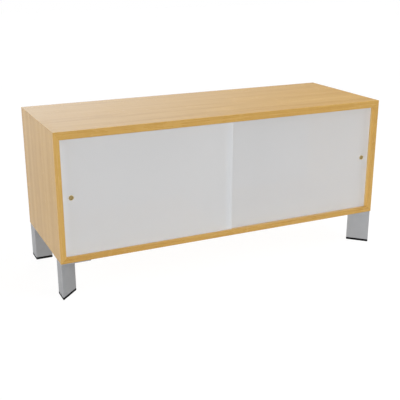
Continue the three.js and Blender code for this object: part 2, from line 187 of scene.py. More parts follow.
@dataclass
class Graph:
    """The nodes of one material, shared effect or world."""

    tree: Tree

    def node(self, kind: str, feeds: dict[str | int, Feed] | None = None,
             **settings: object) -> bpy.types.Node:
        """Adds a node, sets its properties and feeds its sockets.

        Args:
            kind: The node's type.
            feeds: Values or outputs of other nodes, by the socket's name or place.
            settings: Properties of the node.

        Returns:
            The new node.
        """
        made = self.tree.nodes.new(kind)
        for name, value in settings.items():
            setattr(made, name, value)
        for key, value in (feeds or {}).items():
            if isinstance(value, Socket):
                self.tree.links.new(value, made.inputs[key])
            else:
                made.inputs[key].default_value = value
        return made

    def math(self, operation: str, *values: Feed) -> Socket:
        """Works a sum on one or more numbers."""
        return self.node("ShaderNodeMath", dict(enumerate(values)), operation=operation).outputs[0]

    def times(self, first: Feed, second: Feed) -> Socket:
        """Multiplies two numbers."""
        return self.math("MULTIPLY", first, second)

    def centred(self, value: Feed) -> Socket:
        """Turns a value about a half into one about nothing."""
        return self.math("SUBTRACT", value, 0.5)

    def weigh(self, start: Feed, *terms: tuple[Feed, Feed]) -> Socket:
        """Adds numbers to a start value, each times its share.

        Args:
            start: What they are added to.
            terms: Each number and its share.

        Returns:
            The sum.
        """
        for value, share in terms:
            start = self.math("ADD", start, self.times(value, share))
        return start

    def vector(self, operation: str, *values: Feed) -> Socket:
        """Works a sum on vectors and gives a vector."""
        feeds = dict(enumerate(values))
        return self.node("ShaderNodeVectorMath", feeds, operation=operation).outputs["Vector"]

    def measure(self, operation: str, *values: Feed) -> Socket:
        """Works a sum on vectors and gives a number."""
        feeds = dict(enumerate(values))
        return self.node("ShaderNodeVectorMath", feeds, operation=operation).outputs["Value"]

    def parts(self, value: Socket) -> tuple[Socket, Socket, Socket]:
        """Splits a vector into its X, Y and Z."""
        split = self.node("ShaderNodeSeparateXYZ", {"Vector": value}).outputs
        return split["X"], split["Y"], split["Z"]

    def join(self, x: Feed, y: Feed, z: Feed) -> Socket:
        """Makes a vector of three numbers."""
        return self.node("ShaderNodeCombineXYZ", {"X": x, "Y": y, "Z": z}).outputs["Vector"]

    def inset(self, place: Feed, middle: Feed, reach: Feed) -> tuple[Socket, Socket, Socket]:
        """Measures how far inside a box-shaped room a place is, along X, Y and Z."""
        away = self.vector("ABSOLUTE", self.vector("SUBTRACT", place, middle))
        return self.parts(self.vector("SUBTRACT", reach, away))

    def spread(self, value: Feed, low: Feed, high: Feed, to_low: float = 0.0,
               to_high: float = 1.0) -> Socket:
        """Maps a range onto another, softly and within its limits.

        Args:
            value: The number to map.
            low: What becomes to_low.
            high: What becomes to_high.
            to_low: The result at low.
            to_high: The result at high.

        Returns:
            The mapped number.
        """
        feeds = {
            "Value": value, "From Min": low, "From Max": high, "To Min": to_low, "To Max": to_high}
        made = self.node("ShaderNodeMapRange", feeds, interpolation_type="SMOOTHSTEP")
        return made.outputs["Result"]

    def between(self, share: Feed, first: Feed, second: Feed) -> Socket:
        """Mixes two numbers by a share of the second."""
        return self.node("ShaderNodeMix", {0: share, 2: first, 3: second}).outputs[0]

    def blend(self, share: Feed, first: Colour | Socket, second: Colour | Socket) -> Socket:
        """Mixes two colours by a share of the second."""
        feeds = {0: share, 6: opaque(first), 7: opaque(second)}
        return self.node("ShaderNodeMix", feeds, data_type="RGBA").outputs[2]

    def cover(self, under: Colour | Socket, over: Colour | Socket, mask: Socket,
              share: float) -> Socket:
        """Lays a share of one colour over another, where a mask shows it."""
        return self.blend(self.times(mask, share), under, over)

    def noise(self, place: Socket, noise: Noise, seed: Feed = 0.0) -> Socket:
        """Draws a pattern as a value about a half.

        Args:
            place: Where the surface is.
            noise: The pattern.
            seed: What is added to the pattern's own seed.

        Returns:
            The value.
        """
        feeds = {
            "Vector": self.vector("MULTIPLY", place, noise.steps),
            "W": self.math("ADD", seed, noise.seed),
            "Scale": 1.0, "Detail": noise.detail, "Distortion": noise.warp}
        return self.node("ShaderNodeTexNoise", feeds, noise_dimensions="4D").outputs["Fac"]

    def marks(self, place: Socket, noise: Noise, seed: Feed = 0.0) -> Socket:
        """Draws a pattern as marks from 0 to 1."""
        return self.spread(self.noise(place, noise, seed), noise.low, noise.high)

    def here(self, turn: Sequence[float] = (0.0, 0.0, 0.0),
             shift: Sequence[float] = (0.0, 0.0, 0.0)) -> Socket:
        """Gives the place on the piece, turned and moved so that a pattern follows it.

        Args:
            turn: The turn about X, Y and Z.
            shift: The move that comes after the turn.

        Returns:
            The place as a vector.
        """
        feeds = {"Vector": self.node("ShaderNodeTexCoord").outputs["Object"],
                 "Rotation": turn, "Location": shift}
        return self.node("ShaderNodeMapping", feeds).outputs["Vector"]

    def effect(self, shared: Tree, feeds: dict[str, Feed]) -> Outputs:
        """Places a shared effect, feeds it and gives its outputs."""
        return self.node("ShaderNodeGroup", feeds, node_tree=shared).outputs

    def path(self) -> tuple[Socket, Socket]:
        """Tells what light is on its way to.

        Returns:
            Whether it is seen, also through the doors, and whether it is mirrored.
        """
        path = self.node("ShaderNodeLightPath").outputs
        seen = self.math("MAXIMUM", path["Is Camera Ray"], path["Is Transmission Ray"])
        return seen, path["Is Glossy Ray"]

    def bump(self, height: Socket, depth: float, strength: float) -> Socket:
        """Turns a height from 0 to 1 into a normal, for relief of a given depth."""
        feeds = {"Height": height, "Distance": depth, "Strength": strength}
        return self.node("ShaderNodeBump", feeds).outputs["Normal"]


def open_effect(name: str, takes: dict[str, Kind]) -> tuple[Graph, Outputs]:
    """Starts a shared effect.

    Args:
        name: Its name.
        takes: Its inputs, and what each carries.

    Returns:
        The effect's nodes, and its inputs as sockets to read.
    """
    tree = bpy.data.node_groups.new(name, "ShaderNodeTree")
    for label, kind in takes.items():
        tree.interface.new_socket(label, in_out="INPUT", socket_type=kind.value)
    graph = Graph(tree)
    return graph, graph.node("NodeGroupInput").outputs


def close_effect(graph: Graph, gives: dict[str, Socket]) -> Tree:
    """Ends a shared effect with what it puts out.

    Args:
        graph: The effect's nodes.
        gives: Its outputs.

    Returns:
        The effect, ready to be placed.
    """
    for label, socket in gives.items():
        kind = Kind[socket.type].value
        graph.tree.interface.new_socket(label, in_out="OUTPUT", socket_type=kind)
    graph.node("NodeGroupOutput", gives)
    return graph.tree


@dataclass(frozen=True)
class WoodFigure:
    """The figure of sliced wood with its fibres along X: bands, arches, streaks and pores."""

    sway: Noise = Noise((0.6, 0.15, 0.15), detail=1.0)
    bands: Noise = Noise((1.1, 0.034, 0.034), seed=3.1)
    ripple: Noise = Noise((0.014, 0.06, 0.06), detail=1.0, seed=3.1)
    curves: Noise = Noise((0.95, 0.10, 0.10), detail=0.5, seed=7.7)
    arched: Noise = Noise((1.3, 0.13, 0.13), detail=0.0, seed=13.9, low=0.42, high=0.62)
    streaks: Noise = Noise((0.17, 0.0026, 0.0026), detail=3.0, seed=19.3, low=0.25, high=0.75)
    pores: Noise = Noise((0.010, 0.00042, 0.00042), detail=1.0, seed=27.1, low=0.60, high=0.74)
    sway_reach: float = 0.016
    arch_count: float = 95.0
    band_share: float = 0.85
    streak_share: float = 0.75
    ripple_share: float = 0.5
    arch_share: float = 0.16
    pore_share: float = 0.4
    streak_height: float = 0.3

    @cache
    def tree(self) -> Tree:
        """Builds the effect, which gives the wood's colour, pores, streaks and height.

        Returns:
            The shared effect.
        """
        graph, takes = open_effect("wood_figure", {
            "Place": Kind.VECTOR, "Seed": Kind.VALUE, "Strength": Kind.VALUE, "Lean": Kind.VALUE,
            "Pale": Kind.RGBA, "Plain": Kind.RGBA, "Deep": Kind.RGBA})
        seed = takes["Seed"]
        sway = graph.centred(graph.noise(takes["Place"], self.sway, seed))
        sway = graph.times(sway, self.sway_reach)
        place = graph.vector("ADD", takes["Place"], graph.join(0.0, sway, sway))
        bands = graph.marks(place, self.bands, seed)
        curves = graph.noise(place, self.curves, seed)
        arches = graph.math("SINE", graph.times(curves, self.arch_count))
        arched = graph.marks(place, self.arched, seed)
        streaks = graph.marks(place, self.streaks, seed)
        pores = graph.marks(place, self.pores, seed)
        ripple = graph.noise(place, self.ripple, seed)
        mix = graph.weigh(
            0.0, (graph.centred(bands), self.band_share),
            (graph.centred(streaks), self.streak_share), (graph.centred(ripple), self.ripple_share),
            (graph.times(arches, arched), self.arch_share))
        tone = graph.math("ADD", graph.times(mix, takes["Strength"]), takes["Lean"])
        paler = graph.math("MAXIMUM", tone, 0.0)
        darker = graph.math("MAXIMUM", graph.times(tone, -1.0), 0.0)
        colour = graph.blend(paler, takes["Plain"], takes["Pale"])
        colour = graph.blend(darker, colour, takes["Deep"])
        colour = graph.cover(colour, takes["Deep"], pores, self.pore_share)
        height = graph.math("SUBTRACT", graph.times(streaks, self.streak_height), pores)
        return close_effect(graph, {
            "Color": colour, "Pores": pores, "Streaks": streaks, "Height": height})


@dataclass(frozen=True)
class RubbedEdge:
    """A mask that is 1 along the edges of a box-shaped piece, broken up as by handling."""

    broken: Noise = Noise(0.03, detail=4.0, seed=2.0)
    narrow: float = 0.35
    wide: float = 1.4

    @cache
    def tree(self) -> Tree:
        """Builds the effect, which gives the mask for a piece's middle, reach and edge width.

        Returns:
            The shared effect.
        """
        graph, takes = open_effect("rubbed_edge", {
            "Place": Kind.VECTOR, "Middle": Kind.VECTOR, "Reach": Kind.VECTOR, "Width": Kind.VALUE})
        x, y, z = graph.inset(takes["Place"], takes["Middle"], takes["Reach"])
        smaller, larger = graph.math("MINIMUM", x, y), graph.math("MAXIMUM", x, y)
        nearest = graph.math("MAXIMUM", smaller, graph.math("MINIMUM", larger, z))
        broken = graph.noise(takes["Place"], self.broken)
        share = graph.spread(broken, self.broken.low, self.broken.high, self.narrow, self.wide)
        rubbed = graph.spread(nearest, 0.0, graph.times(takes["Width"], share))
        return close_effect(graph, {"Edge": graph.math("SUBTRACT", 1.0, rubbed)})


@dataclass(frozen=True)
class Shelter:
    """A mask that is 1 on what faces a closed room, where light hardly yellows the wood; it also
    places painted light on the bottom panel's floor.
    """

    outside: float = -1.0 * MM
    inside: float = -0.3 * MM

    @cache
    def tree(self) -> Tree:
        """Builds the effect, which gives the mask for a room's middle and reach.

        Returns:
            The shared effect.
        """
        graph, takes = open_effect("sheltered", {
            "Place": Kind.VECTOR, "Middle": Kind.VECTOR, "Reach": Kind.VECTOR})
        x, y, z = graph.inset(takes["Place"], takes["Middle"], takes["Reach"])
        nearest = graph.math("MINIMUM", graph.math("MINIMUM", x, y), z)
        return close_effect(graph, {"Covered": graph.spread(nearest, self.outside, self.inside)})


@dataclass(frozen=True)
class Handling:
    """The traces of use that every finish shares: soft smudges, specks and fine grit."""

    smudge: Noise = Noise((0.13, 0.11, 0.12), detail=4.0, warp=0.8, low=0.42, high=0.75)
    speck: Noise = Noise(0.0022, detail=0.0, low=0.74, high=0.80)
    grit: Noise = Noise(0.0008)

    @cache
    def tree(self) -> Tree:
        """Builds the effect, which gives a mask for each trace.

        Returns:
            The shared effect.
        """
        graph, takes = open_effect("handling", {"Place": Kind.VECTOR, "Seed": Kind.VALUE})
        place, seed = takes["Place"], takes["Seed"]
        return close_effect(graph, {
            "Smudge": graph.marks(place, self.smudge, seed),
            "Speck": graph.marks(place, self.speck, seed),
            "Grit": graph.noise(place, self.grit, seed)})


@dataclass(frozen=True)
class Turning:
    """The rings that a lathe leaves round the Z axis."""

    ring_share: float = 0.5
    drift_scale: float = 0.7
    drift_detail: float = 3.0

    @cache
    def tree(self) -> Tree:
        """Builds the effect, which gives the rings' height, their slow drift and the radius.

        Returns:
            The shared effect.
        """
        graph, takes = open_effect("turning", {"Place": Kind.VECTOR, "Pitch": Kind.VALUE})
        x, y, _ = graph.parts(takes["Place"])
        radius = graph.measure("LENGTH", graph.join(x, y, 0.0))
        count = graph.math("DIVIDE", radius, takes["Pitch"])
        rings = graph.math("SINE", graph.times(count, 2 * math.pi))
        feeds = {"W": count, "Scale": self.drift_scale, "Detail": self.drift_detail}
        drift = graph.node("ShaderNodeTexNoise", feeds, noise_dimensions="1D").outputs["Fac"]
        height = graph.weigh(drift, (rings, self.ring_share))
        return close_effect(graph, {"Rings": height, "Drift": drift, "Radius": radius})


def blank(owner: Material | bpy.types.World) -> Graph:
    """Gives a material or a world an empty set of nodes.

    Args:
        owner: The material or world.

    Returns:
        The empty set.
    """
    owner.use_nodes = True
    owner.node_tree.nodes.clear()
    return Graph(owner.node_tree)


@dataclass
class Surface(Graph):
    """The nodes of one material with a Principled shader."""

    material: Material
    shader: bpy.types.Node

    @classmethod
    def start(cls, name: str, **steady: float) -> "Surface":
        """Starts a material.

        Args:
            name: Its name.
            steady: Values that are the same all over it, by the shader's socket with _ for a space.

        Returns:
            Its nodes, ready for patterns.
        """
        material = bpy.data.materials.new(name)
        graph = blank(material)
        feeds = {label.replace("_", " "): value for label, value in steady.items()}
        shader = graph.node("ShaderNodeBsdfPrincipled", feeds)
        graph.node("ShaderNodeOutputMaterial", {"Surface": shader.outputs["BSDF"]})
        return cls(material.node_tree, material, shader)

    def traces(self, place: Socket, seed: float) -> Outputs:
        """Places the traces of use."""
        return self.effect(Handling().tree(), {"Place": place, "Seed": seed})

    def edges(self, place: Socket, box: Box, width: float) -> Socket:
        """Places the mask of a piece's rubbed edges."""
        feeds = {"Place": place, "Middle": box.middle, "Reach": box.reach, "Width": width}
        return self.effect(RubbedEdge().tree(), feeds)["Edge"]

    def finish(self, colour: Socket, gloss: Socket, height: Socket, depth: float,
               strength: float = 1.0) -> Material:
        """Links what changes over the surface to the shader.

        Args:
            colour: The colour.
            gloss: The roughness.
            height: The relief's height from 0 to 1.
            depth: The relief's depth.
            strength: How strongly the relief shows.

        Returns:
            The material.
        """
        normal = self.bump(height, depth, strength)
        changing = {"Base Color": colour, "Roughness": gloss, "Normal": normal}
        for label, socket in changing.items():
            self.tree.links.new(socket, self.shader.inputs[label])
        return self.material


def dress(piece: Piece, material: Material) -> None:
    """Gives a piece its material, in place of any that it has."""
    if piece.material_slots:
        piece.material_slots[0].material = material
    else:
        piece.data.materials.append(material)
    log.info("%s wears %s", piece.name, material.name)


@dataclass(frozen=True)
class Wood:
    """Wood as veneer, edge band or solid piece, lacquered or raw."""

    name: str
    pale: Colour
    plain: Colour
    deep: Colour
    worn: Colour
    strength: float
    roughness: float
    relief: float
    # fresh: how the colour changes inside the case; less yellow wood, and on the bottom panel also
    # painted light.
    fresh: Colour = (1.0, 1.0, 1.0)
    edge_width: float = 1.6 * MM
    edge_wear: float = 0.35
    speck_share: float = 0.15
    pore_gloss: float = 0.12
    smudge_gloss: float = 0.07
    edge_gloss: float = -0.05
    streak_gloss: float = 0.04
    grit_height: float = 0.4

    def material(self, node: str, grain: Grain, seed: float, lean: float,
                 room: Box) -> Material:
        """Makes the material of one board.

        Args:
            node: The board's name in the frame.
            grain: Which way its fibres run.
            seed: Which of many figures it shows.
            lean: How far it leans to the pale tone, or below 0 to the deep one.
            room: The closed room in which the wood has yellowed less, and where the bottom panel's
                floor gets painted light.

        Returns:
            The material.
        """
        graph = Surface.start(f"{self.name}_{node}", Metallic=0.0, IOR=1.55)
        place = graph.here()
        figure = graph.effect(WoodFigure().tree(), {
            "Place": graph.here(grain.value), "Seed": seed, "Strength": self.strength, "Lean": lean,
            "Pale": opaque(self.pale), "Plain": opaque(self.plain), "Deep": opaque(self.deep)})
        edge = graph.edges(place, Box.of(node), self.edge_width)
        use = graph.traces(place, seed)
        covered = graph.effect(Shelter().tree(), {
            "Place": place, "Middle": room.middle, "Reach": room.reach})["Covered"]
        # Inside the case the wood is tinted less yellow, and the bottom panel's floor gets painted
        # light.
        sheltered_tint_and_light = graph.vector("MULTIPLY", figure["Color"], self.fresh)
        colour = graph.blend(covered, figure["Color"], sheltered_tint_and_light)
        colour = graph.cover(colour, self.worn, edge, self.edge_wear)
        colour = graph.cover(colour, self.deep, use["Speck"], self.speck_share)
        gloss = graph.weigh(
            self.roughness, (figure["Pores"], self.pore_gloss), (use["Smudge"], self.smudge_gloss),
            (edge, self.edge_gloss), (graph.centred(figure["Streaks"]), self.streak_gloss))
        height = graph.weigh(figure["Height"], (use["Grit"], self.grit_height))
        return graph.finish(colour, gloss, height, self.relief)


@dataclass(frozen=True)
class FrostedPanel:
    """Sheet of pale acrylic, satin on both faces, that lets a little of the inside through."""

    name: str = "frosted_panel"
    body: Colour = (0.640, 0.652, 0.669)
    hazed: Colour = (0.606, 0.618, 0.635)
    # Painted light: a paler colour towards the panel's bottom, in place of the lit floor inside
    # seen through it.
    painted_low_light: Colour = (0.658, 0.672, 0.678)
    # Painted highlight: a paler colour along the sheet's edges, as light glowing out of them.
    rim: Colour = (0.72, 0.73, 0.73)
    # Painted light: a paler, bluer band along the panel's top, bottom and outer edge, laid over the
    # frame's shadow.
    film: Colour = (0.685, 0.715, 0.755)
    frost: Noise = Noise(0.0011, detail=3.0)
    milk: Noise = Noise((0.35, 0.1, 0.28), detail=1.0)
    haze_share: float = 0.3
    low_light_reach: float = 110.0 * MM
    low_light_share: float = 0.5
    film_reach: float = 26.0 * MM
    rim_width: float = 1.2 * MM
    edge_glow_share: float = 0.6
    cover: float = 0.66
    roughness: float = 0.42
    smudge_gloss: float = 0.06
    frost_gloss: float = 0.08
    relief: float = 0.02 * MM
    relief_strength: float = 0.5

    def material(self, node: str, seed: float, age: float, outer: float) -> Material:
        """Makes the material of one door panel.

        Args:
            node: The panel's name in the frame.
            seed: Which of many smudges it shows.
            age: How far it has hazed, from 0 to 1.
            outer: The place along X of the upright edge that meets the case.

        Returns:
            The material.
        """
        box = Box.of(node)
        graph = Surface.start(f"{self.name}_{node}", Metallic=0.0, IOR=1.49, Alpha=self.cover)
        place = graph.here()
        use = graph.traces(place, seed)
        frost = graph.noise(place, self.frost, seed)
        milk = graph.centred(graph.marks(place, self.milk, seed))
        colour = graph.blend(graph.weigh(age, (milk, self.haze_share)), self.body, self.hazed)
        # Painted light: the panel turns paler towards its bottom edge.
        _, _, height = graph.parts(place)
        low_light_mask = graph.spread(height, box.low.z + self.low_light_reach, box.low.z)
        colour = graph.cover(colour, self.painted_low_light, low_light_mask, self.low_light_share)
        # Painted light: paler and bluer near the top, the bottom and the upright edge that meets
        # the case, where the frame casts shade.
        away = graph.vector("SUBTRACT", place, Vector((outer, 0.0, box.middle.z)))
        across, _, up = graph.parts(graph.vector("ABSOLUTE", away))
        nearest = graph.math("MINIMUM", across, graph.math("SUBTRACT", box.reach.z, up))
        colour = graph.blend(graph.spread(nearest, self.film_reach, 0.0), colour, self.film)
        # Painted highlight: the sheet's edges are made paler, as light glowing out of them.
        edge = graph.edges(place, box, self.rim_width)
        colour = graph.cover(colour, self.rim, edge, self.edge_glow_share)
        gloss = graph.weigh(self.roughness, (use["Smudge"], self.smudge_gloss),
                            (graph.centred(frost), self.frost_gloss))
        return graph.finish(colour, gloss, frost, self.relief, self.relief_strength)


@dataclass(frozen=True)
class OldBrass:
    """Turned brass that has darkened in its hollow and is rubbed bright on its lip."""

    name: str = "old_brass"
    bright: Colour = (0.69, 0.57, 0.29)
    aged: Colour = (0.48, 0.36, 0.16)
    stain: Noise = Noise(0.004, detail=4.0, seed=4.0, low=0.35)
    stain_share: float = 0.3
    lip_blur: float = 0.08
    metallic: float = 0.68
    roughness: float = 0.30
    stain_gloss: float = 0.12
    worn_gloss: float = -0.06
    drift_gloss: float = 0.08
    smudge_gloss: float = 0.05
    seed: float = 0.0064
    ring_pitch: float = 0.22 * MM
    grit_height: float = 0.3
    relief: float = 0.012 * MM

    def material(self, name: str, middle: Vector, lip: float) -> Material:
        """Makes the material of one finger cup.

        Args:
            name: The cup's name.
            middle: The middle of its front face.
            lip: The radius where the hollow ends and the lip starts.

        Returns:
            The material.
        """
        graph = Surface.start(f"{self.name}_{name}", Metallic=self.metallic)
        upright = Matrix.Rotation(math.pi / 2, 3, "X")
        place = graph.here((math.pi / 2, 0.0, 0.0), -(upright @ middle))
        lathe = graph.effect(Turning().tree(), {"Place": place, "Pitch": self.ring_pitch})
        use = graph.traces(place, self.seed)
        near, far = lip * (1 - self.lip_blur), lip * (1 + self.lip_blur)
        worn = graph.spread(lathe["Radius"], near, far)
        stain = graph.marks(place, self.stain)
        colour = graph.blend(worn, self.aged, self.bright)
        colour = graph.cover(colour, self.aged, stain, self.stain_share)
        gloss = graph.weigh(
            self.roughness, (stain, self.stain_gloss), (worn, self.worn_gloss),
            (graph.centred(lathe["Drift"]), self.drift_gloss), (use["Smudge"], self.smudge_gloss))
        height = graph.weigh(lathe["Rings"], (use["Grit"], self.grit_height))
        return graph.finish(colour, gloss, height, self.relief)


@dataclass(frozen=True)
class PowderCoat:
    """Silver grey powder coat on steel, with a slight orange peel."""

    name: str = "silver_powder_coat"
    body: Colour = (0.391, 0.397, 0.408)
    cloudy: Colour = (0.366, 0.372, 0.383)
    flake: Colour = (0.54, 0.54, 0.55)
    clouds: Noise = Noise((0.05, 0.05, 0.03), seed=2.0)
    peel: Noise = Noise(1.6 * MM, detail=1.0, seed=1.0)
    flake_size: float = 0.3 * MM
    flake_rarity: float = 0.80
    flake_share: float = 0.35
    metallic: float = 0.30
    roughness: float = 0.42
    smudge_gloss: float = 0.08
    peel_gloss: float = 0.06
    relief: float = 0.02 * MM
    seed: float = 5.0

    @cache
    def material(self) -> Material:
        """Makes the material, once for all legs.

        Returns:
            The material.
        """
        graph = Surface.start(self.name, Metallic=self.metallic, IOR=1.5)
        place = graph.here()
        use = graph.traces(place, self.seed)
        peel = graph.noise(place, self.peel)
        cells = graph.node("ShaderNodeTexVoronoi", {"Vector": place, "Scale": 1 / self.flake_size})
        chance, _, _ = graph.parts(cells.outputs["Color"])
        flakes = graph.spread(chance, self.flake_rarity, 1.0)
        colour = graph.blend(graph.marks(place, self.clouds), self.body, self.cloudy)
        colour = graph.cover(colour, self.flake, flakes, self.flake_share)
        gloss = graph.weigh(self.roughness, (use["Smudge"], self.smudge_gloss),
                            (graph.centred(peel), self.peel_gloss))
        return graph.finish(colour, gloss, peel, self.relief)


@dataclass(frozen=True)
class Plastic:
    """Moulded or extruded plastic with fine lines or pits of a given size."""

    name: str
    body: Colour
    scuffed: Colour
    roughness: float
    lines: Noise
    shine: float = 0.5
    scuff_share: float = 0.5
    speck_share: float = 0.3
    smudge_gloss: float = 0.1
    line_gloss: float = 0.08
    grit_height: float = 0.6
    relief: float = 0.015 * MM
    seed: float = 9.0

    @cache
    def material(self) -> Material:
        """Makes the material, once for all pieces of this plastic.

        Returns:
            The material.
        """
        graph = Surface.start(self.name, Metallic=0.0, IOR=1.49, Specular_IOR_Level=self.shine)
        place = graph.here()
        use = graph.traces(place, self.seed)
        lines = graph.noise(place, self.lines)
        scuffs = graph.times(use["Smudge"], graph.spread(lines, self.lines.low, self.lines.high))
        colour = graph.cover(self.body, self.scuffed, scuffs, self.scuff_share)
        colour = graph.cover(colour, self.scuffed, use["Speck"], self.speck_share)
        gloss = graph.weigh(self.roughness, (use["Smudge"], self.smudge_gloss),
                            (graph.centred(lines), self.line_gloss))
        height = graph.weigh(lines, (use["Grit"], self.grit_height))
        return graph.finish(colour, gloss, height, self.relief)


@dataclass(frozen=True)
class Zinc:
    """Zinc plate on steel screws."""

    name: str = "zinc_plate"
    body: Colour = (0.58, 0.60, 0.62)
    dull: Colour = (0.44, 0.45, 0.46)
    bloom: Noise = Noise((0.003, 0.003, 0.002), detail=4.0, seed=6.0, low=0.35)
    roughness: float = 0.32
    bloom_gloss: float = 0.2
    smudge_gloss: float = 0.05
    relief: float = 0.01 * MM
    seed: float = 11.0

    @cache
    def material(self) -> Material:
        """Makes the material, once for all screws.

        Returns:
            The material.
        """
        graph = Surface.start(self.name, Metallic=1.0)
        place = graph.here()
        use = graph.traces(place, self.seed)
        bloom = graph.noise(place, self.bloom)
        share = graph.spread(bloom, self.bloom.low, self.bloom.high)
        colour = graph.blend(share, self.body, self.dull)
        gloss = graph.weigh(self.roughness, (graph.centred(bloom), self.bloom_gloss),
                            (use["Smudge"], self.smudge_gloss))
        return graph.finish(colour, gloss, use["Grit"], self.relief)


def put(name: str, data: bpy.types.ID) -> Piece:
    """Puts a new object in the scene.

    Args:
        name: Its name.
        data: Its mesh, light or camera.

    Returns:
        The object.
    """
    made = bpy.data.objects.new(name, data)
    bpy.context.scene.collection.objects.link(made)
    return made


def settle(name: str, shape: Shape, material: Material, body: str,
           nodes: Sequence[str] = (), crease: float = math.radians(32)) -> Piece:
    """Makes a finished object of a shape and ties it to the frame.

    Args:
        name: The object's name.
        shape: The shape, which is used up.
        material: The object's material.
        body: The body that it rides on.
        nodes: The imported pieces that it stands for.
        crease: The angle between faces past which an edge stays sharp.

    Returns:
        The object.
    """
    bmesh.ops.remove_doubles(shape, verts=shape.verts, dist=MERGE_REACH)
    bmesh.ops.recalc_face_normals(shape, faces=shape.faces)
    mesh = bpy.data.meshes.new(name)
    shape.to_mesh(mesh)
    shape.free()
    mesh.shade_smooth()
    mesh.set_sharp_from_angle(angle=crease)
    piece = put(name, mesh)
    dress(piece, material)
    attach(piece, body)
    if nodes:
        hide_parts(*nodes)
    log.info("%s: %d faces on %s", name, len(mesh.polygons), body)
    return piece


def round_off(shape: Shape, corner: Vert, rounding: float, segments: int) -> None:
    """Rounds one corner of an outline, from a given distance on both sides."""
    bmesh.ops.bevel(shape, geom=[corner], offset=rounding, segments=segments, profile=0.5,
                    affect="VERTICES", material=-1)


def outline(shape: Shape, places: Sequence[Vector], roundings: Sequence[float],
            segments: int) -> Edges:
    """Draws a closed outline with rounded corners.

    Args:
        shape: Where it is drawn.
        places: Its corners in order.
        roundings: How far from each corner its rounding starts.
        segments: How many steps each rounding has.

    Returns:
        The outline's edges.
    """
    corners = [shape.verts.new(place) for place in places]
    bmesh.ops.contextual_create(shape, geom=corners)
    known = set(shape.verts) - set(corners)
    for corner, rounding in zip(corners, roundings):
        round_off(shape, corner, rounding, segments)
    face = next(face for face in shape.faces if known.isdisjoint(face.verts))
    rim = list(face.edges)
    bmesh.ops.delete(shape, geom=[face], context="FACES_ONLY")
    return rim


def grow(shape: Shape, rim: Edges) -> tuple[list[Vert], Edges]:
    """Starts the next row of faces along a rim.

    Args:
        shape: What grows.
        rim: The edges that it grows from.

    Returns:
        The points and the edges of the new rim.
    """
    grown = bmesh.ops.extrude_edge_only(shape, edges=rim)["geom"]
    points = [part for part in grown if isinstance(part, Vert)]
    return points, [part for part in grown if isinstance(part, bmesh.types.BMEdge)]


class Corner(NamedTuple):
    """A corner in the section of a turned piece."""

    radius: float
    height: float
    rounding: float = 0.0


def turned(profile: Sequence[Corner], steps: int) -> Shape:
    """Turns a profile about the Z axis.

    Args:
        profile: Its corners in order.
        steps: How many steps a full turn has.

    Returns:
        The turned shape.
    """
    shape = bmesh.new()
    points = [shape.verts.new((corner.radius, 0.0, corner.height)) for corner in profile]
    for pair in zip(points, points[1:]):
        shape.edges.new(pair)
    for point, corner in zip(points, profile):
        if corner.rounding:
            round_off(shape, point, corner.rounding, ROUNDING_STEPS)
    bmesh.ops.spin(shape, geom=list(shape.verts) + list(shape.edges), cent=(0.0, 0.0, 0.0),
                   axis=(0.0, 0.0, 1.0), angle=2 * math.pi, steps=steps, use_merge=True)
    bmesh.ops.remove_doubles(shape, verts=shape.verts, dist=MERGE_REACH)
    return shape


